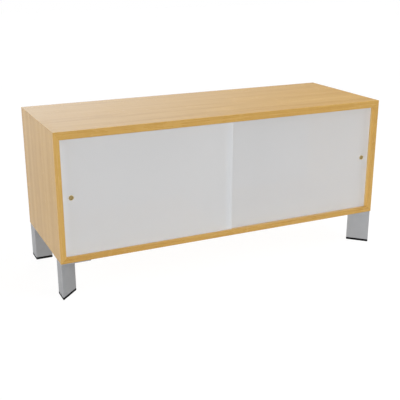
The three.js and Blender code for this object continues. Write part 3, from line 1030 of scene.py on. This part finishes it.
@dataclass
class Case:
    """The mitred case with its edge bands, its joints, its back and its partition."""

    veneer: Wood = Wood(
        "birch_veneer", shade(201, 161, 89), shade(193, 152, 77), shade(178, 134, 60),
        shade(208, 174, 108), 1.0, 0.13, 0.01 * MM, fresh=(0.95, 1.08, 1.6))
    band: Wood = Wood(
        "birch_band", shade(200, 160, 87), shade(193, 152, 77), shade(177, 132, 58),
        shade(178, 138, 68), 0.8, 0.26, 0.01 * MM)
    inner: Wood = Wood(
        "inner_birch", shade(189, 175, 154), shade(180, 166, 144), shade(166, 150, 126),
        shade(198, 185, 165), 0.9, 0.46, 0.03 * MM)
    raw: Wood = Wood(
        "raw_beech", shade(222, 196, 152), shade(214, 184, 138), shade(190, 154, 108),
        shade(224, 200, 160), 1.2, 0.75, 0.06 * MM)
    # Painted light: the bottom panel's floor inside the case is paler and bluer, as if lit through
    # the doors.
    painted_floor_light: Colour = (1.2, 1.33, 1.85)
    seed_step: float = 2.37
    # The centre partition's lean to the deep tone is painted shade inside the closed case.
    leans: dict[str, float] = field(default_factory=lambda: {
        "top_edge_band": 0.1, "bottom_edge_band": -0.35, "left_edge_band": 0.65,
        "right_edge_band": 0.05, "back_panel": 0.7, "centre_partition": -1.0})

    def pieces(self) -> Iterator[tuple[str, Wood, Grain]]:
        """Goes through the wooden pieces.

        Yields:
            Each piece's name, its finish and its grain.
        """
        # The bottom panel gets painted light on its floor inside the case.
        painted_floor_light = replace(self.veneer, fresh=self.painted_floor_light)
        for level, veneer in (("top", self.veneer), ("bottom", painted_floor_light)):
            yield f"{level}_panel", veneer, Grain.ALONG_X
            for place in (1, 2, 3):
                yield f"partition_{level}_dowel_{place}", self.raw, Grain.ALONG_Z
            yield f"{level}_edge_band", self.band, Grain.ALONG_X
        for side in Side:
            yield f"{side.word}_side_panel", self.veneer, Grain.ALONG_Z
            yield f"{side.word}_edge_band", self.band, Grain.ALONG_Z
            for level in ("top", "bottom"):
                yield f"{level}_{side.word}_corner_tongue", self.raw, Grain.ALONG_Y
        yield "back_panel", self.inner, Grain.ALONG_X
        yield "centre_partition", self.inner, Grain.ALONG_Z
        yield "partition_edge_band", self.band, Grain.ALONG_Z

    def room(self) -> Box:
        """Finds the room between the boards, from the doors to the back.

        Returns:
            The room.
        """
        left, right, bottom, top, door, back = map(Box.of, (
            "left_side_panel", "right_side_panel", "bottom_panel", "top_panel", "left_door",
            "back_panel"))
        return Box(Vector((left.high.x, door.low.y, bottom.high.z)),
                   Vector((right.low.x, back.low.y, top.low.z)))

    def build(self) -> None:
        """Dresses the wooden pieces."""
        room = self.room()
        for index, (node, wood, grain) in enumerate(self.pieces()):
            seed = self.seed_step * (index + 1)
            lean = self.leans.get(node, 0.0)
            dress(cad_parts[node], wood.material(node, grain, seed, lean, room))


@dataclass
class Tracks:
    """The double tracks that the doors run in."""

    plastic: Plastic = Plastic(
        "track_plastic", shade(197, 168, 120), shade(172, 142, 96), 0.42,
        Noise((0.6, 0.5 * MM, 0.5 * MM), seed=3.0, low=0.5, high=0.8))

    def build(self) -> None:
        """Dresses both tracks."""
        for node in ("lower_track", "upper_track"):
            dress(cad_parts[node], self.plastic.material())


@dataclass
class FingerCup:
    """The turned cup let into a door, by which it is slid."""

    side: Side
    brass: OldBrass = OldBrass()
    body_radius: float = 7.2 * MM
    body_rounding: float = 0.3 * MM
    flange_thickness: float = 0.8 * MM
    flange_rounding: float = 0.55 * MM
    cup_radius: float = 6.4 * MM
    lip_rounding: float = 0.4 * MM
    cup_depth: float = 3.6 * MM
    floor_radius: float = 5.2 * MM
    floor_rounding: float = 1.5 * MM
    pip_radius: float = 1.1 * MM
    pip_height: float = 0.25 * MM
    pip_taper: float = 0.6
    pip_foot_rounding: float = 0.2 * MM
    pip_rounding: float = 0.12 * MM
    steps: int = 96

    def profile(self, radius: float, depth: float) -> list[Corner]:
        """Draws half the cup's section, from the middle of its back round to its hollow.

        Args:
            radius: The flange's radius.
            depth: The cup's length from front to back.

        Returns:
            The section's corners, with the front at height 0.
        """
        floor = -self.cup_depth
        pip_top = floor + self.pip_height
        return [
            Corner(0.0, -depth),
            Corner(self.body_radius, -depth, self.body_rounding),
            Corner(self.body_radius, -self.flange_thickness),
            Corner(radius, -self.flange_thickness),
            Corner(radius, 0.0, self.flange_rounding),
            Corner(self.cup_radius, 0.0, self.lip_rounding),
            Corner(self.floor_radius, floor, self.floor_rounding),
            Corner(self.pip_radius, floor, self.pip_foot_rounding),
            Corner(self.pip_radius * self.pip_taper, pip_top, self.pip_rounding),
            Corner(0.0, pip_top)]

    def build(self) -> None:
        """Turns the cup and sets it in its door."""
        name = f"{self.side.word}_door_pull"
        box = Box.of(name)
        front = Vector((box.middle.x, box.low.y, box.middle.z))
        shape = turned(self.profile(box.reach.x, 2 * box.reach.y), self.steps)
        place = Matrix.Translation(front) @ Matrix.Rotation(math.pi / 2, 4, "X")
        bmesh.ops.transform(shape, matrix=place, verts=shape.verts)
        material = self.brass.material(name, front, self.cup_radius)
        settle(f"{name}_cup", shape, material, f"{self.side.word}_slider", [name])


@dataclass
class SlidingDoor:
    """One frosted door with its finger cup."""

    side: Side
    panel: FrostedPanel = FrostedPanel()
    seed: float = 3.0
    ages: dict[Side, float] = field(default_factory=lambda: {Side.LEFT: 0.2, Side.RIGHT: 0.75})

    def build(self) -> None:
        """Dresses the panel and adds its cup."""
        node = f"{self.side.word}_door"
        box = Box.of(node)
        outer = self.side.further(box.low.x, box.high.x)
        seed = self.seed + self.side.value
        dress(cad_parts[node], self.panel.material(node, seed, self.ages[self.side], outer))
        FingerCup(self.side).build()


@dataclass
class Screw:
    """A pan head wood screw with a cross recess, driven up through a leg's plate."""

    node: str
    turn: float
    head_radius: float = 4.6 * MM
    head_height: float = 3.0 * MM
    head_rounding: float = 1.5 * MM
    seat_rounding: float = 0.4 * MM
    crown_radius: float = 2.9 * MM
    shank_radius: float = 2.25 * MM
    tip_length: float = 4.0 * MM
    recess_reach: float = 1.9 * MM
    recess_width: float = 0.5 * MM
    recess_depth: float = 1.7 * MM
    recess_taper: float = 0.45
    steps: int = 40

    def recess(self, shape: Shape, level: float) -> Edges:
        """Sinks the cross into the crown.

        Args:
            shape: The screw.
            level: The crown's height.

        Returns:
            The edges of the cross's mouth.
        """
        known = set(shape.verts)
        bmesh.ops.create_grid(shape, x_segments=3, y_segments=3, size=self.recess_reach)
        fresh = [vert for vert in shape.verts if vert not in known]
        for vert in fresh:
            vert.co.x = self.arm(vert.co.x)
            vert.co.y = self.arm(vert.co.y)
            vert.co.z = level
        faces = {face for vert in fresh for face in vert.link_faces}
        middles = {face: face.calc_center_median() for face in faces}
        corners = [face for face, middle in middles.items()
                   if min(abs(middle.x), abs(middle.y)) > self.recess_width]
        bmesh.ops.delete(shape, geom=corners, context="FACES")
        cross = [face for face in faces if face.is_valid]
        mouth = [edge for face in cross for edge in face.edges if edge.is_boundary]
        sunk = bmesh.ops.extrude_face_region(shape, geom=cross, use_keep_orig=True)["geom"]
        floor = [part for part in sunk if isinstance(part, Vert)]
        bmesh.ops.translate(shape, vec=(0.0, 0.0, self.recess_depth), verts=floor)
        shrink = Vector((self.recess_taper, self.recess_taper, 1.0))
        bmesh.ops.scale(shape, vec=shrink, verts=floor)
        bmesh.ops.delete(shape, geom=cross, context="FACES")
        return mouth

    def arm(self, value: float) -> float:
        """Moves a grid line to the cross's width or reach."""
        near = abs(value) < self.recess_reach / 2
        return math.copysign(self.recess_width if near else self.recess_reach, value)

    def build(self, zinc: Zinc) -> None:
        """Turns the screw, sinks its recess and sets it in its hole.

        Args:
            zinc: Its finish.
        """
        box = Box.of(self.node)
        length = 2 * box.reach.z - self.head_height
        shape = turned([
            Corner(self.crown_radius, -self.head_height),
            Corner(self.head_radius, -self.head_height, self.head_rounding),
            Corner(self.head_radius, 0.0, self.seat_rounding),
            Corner(self.shank_radius, 0.0),
            Corner(self.shank_radius, length - self.tip_length),
            Corner(0.0, length)], self.steps)
        crown = [edge for edge in shape.edges if edge.is_boundary]
        mouth = self.recess(shape, -self.head_height)
        bmesh.ops.bridge_loops(shape, edges=crown + mouth)
        seat = Vector((box.middle.x, box.middle.y, box.low.z + self.head_height))
        place = Matrix.Translation(seat) @ Matrix.Rotation(self.turn, 4, "Z")
        bmesh.ops.transform(shape, matrix=place, verts=shape.verts)
        settle(f"{self.node}_turned", shape, zinc.material(), CASE_BODY, [self.node])


@dataclass
class Leg:
    """One three-sided steel leg with its plate, foot, weld beads and screws."""

    side: Side
    end: End
    coat: PowderCoat = PowderCoat()
    rubber: Plastic = Plastic(
        "foot_plastic", shade(20, 20, 21), shade(40, 40, 40), 0.75,
        Noise(1.2 * MM, seed=3.0, low=0.5, high=0.8), shine=0.12)
    zinc: Zinc = Zinc()
    reach: float = 60.0 * MM
    wall: float = 2.0 * MM
    square_rounding: float = 1.5 * MM
    acute_rounding: float = 2.6 * MM
    corner_steps: int = 8
    sole_height: float = 8.5 * MM
    sole_edge: float = 0.8 * MM
    sole_turns: tuple[float, ...] = (90.0, 67.5, 45.0, 22.5, 0.0)
    tread_draw: float = 4.0 * MM
    tread_depth: float = 0.5 * MM
    plug_draw: float = 3.5 * MM
    plug_wall: float = 2.5 * MM
    fin_draw: float = 2.3 * MM
    fin_thickness: float = 1.0 * MM
    fin_shares: tuple[float, ...] = (0.2, 0.45, 0.7, 0.95)
    bead_radius: float = 1.5 * MM
    bead_start: float = 0.6
    bead_pinch: float = 0.86
    bead_sink: float = 0.35
    bead_sides: int = 10
    bead_pitch: float = 1.3 * MM
    bead_margin: float = 5.0 * MM
    bead_crease: float = math.radians(60)
    screw_count: int = 4
    screw_turn: float = 0.7
    side_turn: float = 0.4
    end_turn: float = 0.9
    corner: Vector = field(init=False)
    name: str = field(init=False)

    def __post_init__(self) -> None:
        """Finds the leg's outer corner from its plate."""
        self.name = f"{self.end.word}_{self.side.word}"
        plate = Box.of(f"{self.name}_leg_plate")
        across = self.side.further(plate.low.x, plate.high.x)
        along = self.end.further(plate.low.y, plate.high.y)
        self.corner = Vector((across, along, 0.0))

    def spot(self, x: float, y: float, level: float) -> Vector:
        """Places a point by its distances from the leg's outer side and outer end."""
        return self.corner + Vector((-self.side.value * x, -self.end.value * y, level))

    def corners(self, level: float) -> list[Vector]:
        """Gives the triangle's outer corner, square corner and inner corner at a height."""
        plan = ((0.0, 0.0), (0.0, self.reach), (self.reach, self.reach))
        return [self.spot(x, y, level) for x, y in plan]

    def skin(self, rims: Sequence[tuple[float, float]], ring: bool) -> Shape:
        """Draws a skin through outlines of the leg's triangle.

        Args:
            rims: How far each outline is drawn in from the outside, and its height.
            ring: Whether the skin closes on itself. If not, both ends are closed with a face.

        Returns:
            The shape.
        """
        shape = bmesh.new()
        inradius = self.reach * (1 - math.sqrt(0.5))
        middle = self.spot(inradius, self.reach - inradius, 0.0)
        about = Matrix.Translation(-middle)
        roundings = (self.acute_rounding, self.square_rounding, self.acute_rounding)
        rim = outline(shape, self.corners(0.0), roundings, self.corner_steps)
        first, size, height = rim, 1.0, 0.0
        for index, (drawn_in, level) in enumerate([*rims, rims[0]] if ring else rims):
            if index:
                _, rim = grow(shape, rim)
            verts = list({vert for edge in rim for vert in edge.verts})
            wanted = 1 - drawn_in / inradius
            factor = wanted / size
            bmesh.ops.scale(shape, vec=(factor, factor, 1.0), space=about, verts=verts)
            bmesh.ops.translate(shape, vec=(0.0, 0.0, level - height), verts=verts)
            size, height = wanted, level
        if not ring:
            for loop in (first, rim):
                bmesh.ops.contextual_create(shape, geom=loop)
        return shape

    def add_post(self) -> None:
        """Adds the three-sided tube."""
        node = f"{self.name}_leg_post"
        low, high = Box.of(node).low.z, Box.of(node).high.z
        shape = self.skin([(0.0, low), (0.0, high), (self.wall, high), (self.wall, low)], ring=True)
        settle(f"{node}_tube", shape, self.coat.material(), CASE_BODY, [node])

    def add_foot(self) -> None:
        """Adds the moulded foot: a sole with a hollow tread, and a plug with fins."""
        node = f"{self.name}_foot"
        low, top = Box.of(node).low.z, Box.of(node).high.z
        lower_edge = [
            (self.sole_edge * (1 - math.cos(turn)), low + self.sole_edge * (1 - math.sin(turn)))
            for turn in map(math.radians, self.sole_turns)]
        upper_edge = [
            (draw, self.sole_height - (level - low)) for draw, level in reversed(lower_edge)]
        rims = [(self.tread_draw, low + self.tread_depth), (self.tread_draw, low),
                *lower_edge, *upper_edge, (self.plug_draw, self.sole_height)]
        for share in self.fin_shares:
            fin_top = self.sole_height + share * (top - self.sole_height)
            fin_low = fin_top - self.fin_thickness
            rims += [(self.plug_draw, fin_low), (self.fin_draw, fin_low),
                     (self.fin_draw, fin_top), (self.plug_draw, fin_top)]
        hollow = self.plug_draw + self.plug_wall
        rims += [(self.plug_draw, top), (hollow, top), (hollow, self.sole_height)]
        shape = self.skin(rims, ring=False)
        settle(f"{node}_moulded", shape, self.rubber.material(), CASE_BODY, [node])

    def bead(self, shape: Shape, start: Vector, finish: Vector) -> None:
        """Lays one weld bead, scale by scale.

        Args:
            shape: Where it is laid.
            start: The first end of the joint.
            finish: The joint's other end.
        """
        run = finish - start
        way = run.normalized()
        laid = run.length - 2 * self.bead_margin
        count = max(2, round(laid / (self.bead_pitch / 2)))
        step = way * (laid / count)
        heading = Vector((0.0, 0.0, 1.0)).rotation_difference(way).to_matrix().to_4x4()
        middle = start + way * self.bead_margin
        place = Matrix.Translation(middle) @ heading
        radius = self.bead_radius * self.bead_start
        verts = bmesh.ops.create_circle(
            shape, cap_ends=True, segments=self.bead_sides, radius=radius, matrix=place)["verts"]
        rim = list({edge for vert in verts for edge in vert.link_edges})
        for index in range(count):
            verts, rim = grow(shape, rim)
            middle = middle + step
            bmesh.ops.translate(shape, vec=step, verts=verts)
            factor = self.bead_pinch if index % 2 else 1 / self.bead_pinch
            bmesh.ops.scale(shape, vec=(factor, factor, factor), space=Matrix.Translation(-middle),
                            verts=verts)
        bmesh.ops.contextual_create(shape, geom=rim)

    def add_welds(self) -> None:
        """Adds the beads that join the tube to its plate, on the two faces inside the plate."""
        top = Box.of(f"{self.name}_leg_post").high.z
        outer, square, inner = self.corners(top - self.bead_radius * self.bead_sink)
        shape = bmesh.new()
        self.bead(shape, outer, inner)
        self.bead(shape, square, inner)
        settle(f"{self.name}_leg_welds", shape, self.coat.material(), CASE_BODY,
               crease=self.bead_crease)

    def build(self) -> None:
        """Builds the leg and dresses its plate."""
        dress(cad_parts[f"{self.name}_leg_plate"], self.coat.material())
        self.add_post()
        self.add_foot()
        self.add_welds()
        for index in range(1, self.screw_count + 1):
            turn = (self.screw_turn * index + self.side_turn * self.side.value
                    + self.end_turn * self.end.value)
            Screw(f"{self.name}_leg_screw_{index}", turn).build(self.zinc)


@dataclass(frozen=True)
class Lamp:
    """A soft light that no surface mirrors: a square lamp, or an even glow if it has no size."""

    name: str
    source: Triple
    power: float
    size: float = 0.0
    shadow: bool = True

    def hang(self, target: Triple, spread: float) -> None:
        """Adds the light and turns it to what it lights.

        Args:
            target: Where a square lamp aims.
            spread: The angle from which a glow comes.
        """
        data = bpy.data.lights.new(self.name, "AREA" if self.size else "SUN")
        data.energy = self.power
        data.use_shadow = self.shadow
        lamp = put(self.name, data)
        lamp.visible_glossy = False
        way = -Vector(self.source)
        if self.size:
            data.shape = "SQUARE"
            data.size = self.size
            lamp.location = self.source
            way = way + Vector(target)
        else:
            data.angle = spread
        lamp.rotation_euler = way.to_track_quat("-Z", "Y").to_euler()


@dataclass
class Studio:
    """The plain floor, soft light and camera round the cabinet."""

    camera_place: Triple = (-1.1111, -2.3287, 1.0554)
    camera_tilt: float = math.radians(71.45)
    camera_turn: float = math.radians(-25.19)
    lens: float = 66.24
    sensor: float = 36.0
    floor_reach: float = 12.0
    floor_matt: float = 0.60
    seen_matt_loss: float = 0.45
    floor_glow: float = 0.90
    near_floor: float = 0.60
    near_reach: float = 0.9
    far_floor: float = 0.70
    far_reach: float = 2.6
    painted_floor_shadow: float = 0.75
    painted_shadow_reach: float = 0.12
    zenith: float = 0.08
    zenith_height: float = 0.9
    horizon: float = 0.36
    bright_side: Triple = (-0.707, 0.707, 0.0)
    bright_gloss: float = 1.34
    bright_facing: float = 0.68
    dim_gloss: float = 0.25
    dim_facing: float = 0.08
    low_gloss: float = 0.55
    low_height: float = 0.03
    aloft_height: float = 0.16
    fill_spread: float = math.radians(40.0)
    lamp_target: Triple = (0.0, 0.0, 0.3)
    lamps: tuple[Lamp, ...] = (
        Lamp("left_fill", (-0.83, -0.38, 0.33), 2.51, shadow=False),
        Lamp("front_fill", (0.74, -0.58, 0.34), 0.90, shadow=False),
        Lamp("front_light", (0.74, -0.58, 0.34), 0.90),
        Lamp("back_light", (0.30, 0.94, 0.12), 1.70),
        Lamp("key_lamp", (-6.0, -3.1, 4.8), 50.0, size=4.0),
        Lamp("top_lamp", (0.7, -0.1, 1.6), 12.0, size=0.8))

    def set_camera(self) -> None:
        """Adds the camera."""
        data = bpy.data.cameras.new("camera")
        data.lens = self.lens
        data.sensor_width = self.sensor
        camera = put("camera", data)
        camera.location = self.camera_place
        camera.rotation_euler = (self.camera_tilt, 0.0, self.camera_turn)
        bpy.context.scene.camera = camera

    def lay_floor(self) -> None:
        """Lays the pale floor, which looks white and keeps a faint shadow; in reflections it shows
        a painted glow and a painted shadow round the cabinet.
        """
        shape = bmesh.new()
        bmesh.ops.create_grid(shape, x_segments=1, y_segments=1, size=self.floor_reach)
        mesh = bpy.data.meshes.new("studio_floor")
        shape.to_mesh(mesh)
        shape.free()
        floor = put("studio_floor", mesh)
        material = bpy.data.materials.new("studio_floor")
        graph = blank(material)
        seen, mirrored = graph.path()
        away = graph.measure("LENGTH", graph.here())
        beyond = graph.vector("SUBTRACT", graph.vector("ABSOLUTE", graph.here()), cad_box[1])
        clear = graph.measure("LENGTH", graph.vector("MAXIMUM", beyond, (0.0, 0.0, 0.0)))
        matt = graph.weigh(
            self.floor_matt, (seen, -self.seen_matt_loss), (mirrored, -self.floor_matt))
        # What reflections show of the floor is painted: a glow that grows further out, and a
        # painted shadow round and under the cabinet.
        painted_floor_reflection = graph.times(
            graph.spread(away, self.near_reach, self.far_reach, self.near_floor, self.far_floor),
            graph.spread(clear, 0.0, self.painted_shadow_reach, self.painted_floor_shadow))
        glow = graph.weigh(graph.times(seen, self.floor_glow), (mirrored, painted_floor_reflection))
        diffuse = graph.node("ShaderNodeBsdfDiffuse", {"Color": graph.join(matt, matt, matt)})
        light = graph.node("ShaderNodeEmission", {"Strength": glow})
        both = graph.node("ShaderNodeAddShader", {0: diffuse.outputs[0], 1: light.outputs[0]})
        graph.node("ShaderNodeOutputMaterial", {"Surface": both.outputs[0]})
        dress(floor, material)

    def light_room(self) -> None:
        """Lights the room evenly, a little more from the back left, and shows white behind it."""
        world = bpy.data.worlds.new("studio")
        graph = blank(world)
        seen, mirrored = graph.path()
        way = graph.node("ShaderNodeTexCoord").outputs["Generated"]
        facing = graph.measure("DOT_PRODUCT", way, self.bright_side)
        _, _, height = graph.parts(way)
        aloft = graph.spread(
            facing, self.dim_facing, self.bright_facing, self.dim_gloss, self.bright_gloss)
        gloss = graph.between(
            graph.spread(height, self.low_height, self.aloft_height), self.low_gloss, aloft)
        sky = graph.spread(height, 0.0, self.zenith_height, self.horizon, self.zenith)
        plain = graph.between(mirrored, sky, gloss)
        back = graph.node("ShaderNodeBackground", {
            "Color": opaque((1.0, 1.0, 1.0)), "Strength": graph.between(seen, plain, 1.0)})
        graph.node("ShaderNodeOutputWorld", {"Surface": back.outputs[0]})
        bpy.context.scene.world = world

    def build(self) -> None:
        """Sets up the whole studio."""
        bpy.context.scene.view_settings.view_transform = "Standard"
        self.set_camera()
        self.lay_floor()
        self.light_room()
        for lamp in self.lamps:
            lamp.hang(self.lamp_target, self.fill_spread)
        log.info("studio ready")


def main() -> None:
    """Builds and dresses the cabinet, piece by piece, in its studio."""
    logging.basicConfig(level=logging.INFO, format="%(name)s: %(message)s")
    Studio().build()
    Case().build()
    Tracks().build()
    for side in Side:
        SlidingDoor(side).build()
        for end in End:
            Leg(side, end).build()


if __name__ == "__main__":
    main()
